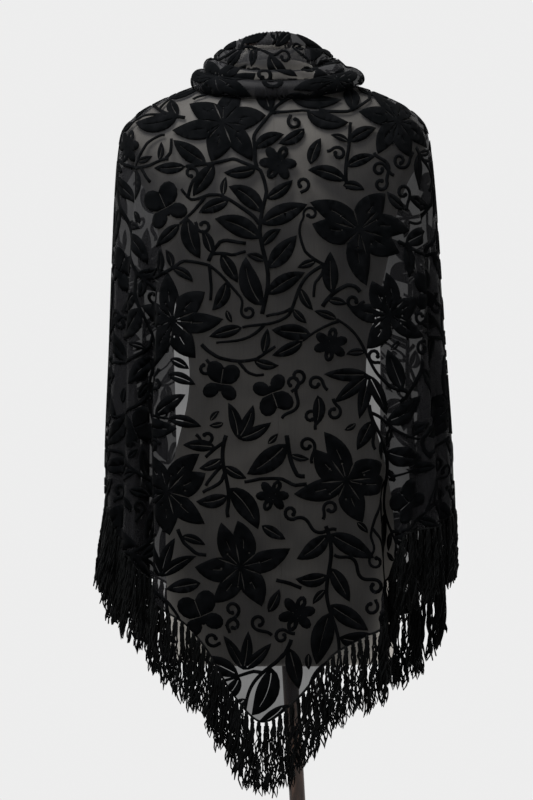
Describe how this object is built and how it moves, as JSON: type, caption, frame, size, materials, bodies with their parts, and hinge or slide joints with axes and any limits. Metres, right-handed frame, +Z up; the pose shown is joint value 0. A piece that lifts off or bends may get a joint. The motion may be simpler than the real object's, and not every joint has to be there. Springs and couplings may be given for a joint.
{
  "type": "fringed velvet shawl on a limbless dress form",
  "caption": "Triangular burnout velvet shawl with rolled collar and long fringe, draped over a limbless dress form on a pole and round base.",
  "frame": {"origin": "middle of the round base's flat underside, on the floor", "axes": "+Z up, +X to the right as the wearer's back is seen, +Y towards the wearer's front"},
  "size_m": [0.4774, 0.36, 1.5015],
  "materials": {
    "burnout_velvet": "black velvet pile in a floral pattern on a sheer black chiffon ground",
    "rayon_fringe": "black twisted rayon cords with a soft sheen",
    "form_jersey": "pale stretched jersey, matt",
    "stand_wood": "turned and stained brown, satin"
  },
  "bodies": {
    "root": {"dress_form": "form_jersey", "stand_pole": "stand_wood", "stand_base": "stand_wood", "shawl_back": "burnout_velvet", "shawl_left_front": "burnout_velvet", "shawl_right_front": "burnout_velvet", "shawl_collar": "burnout_velvet", "fringe_left": "rayon_fringe", "fringe_right": "rayon_fringe"}
  },
  "joints": []
}
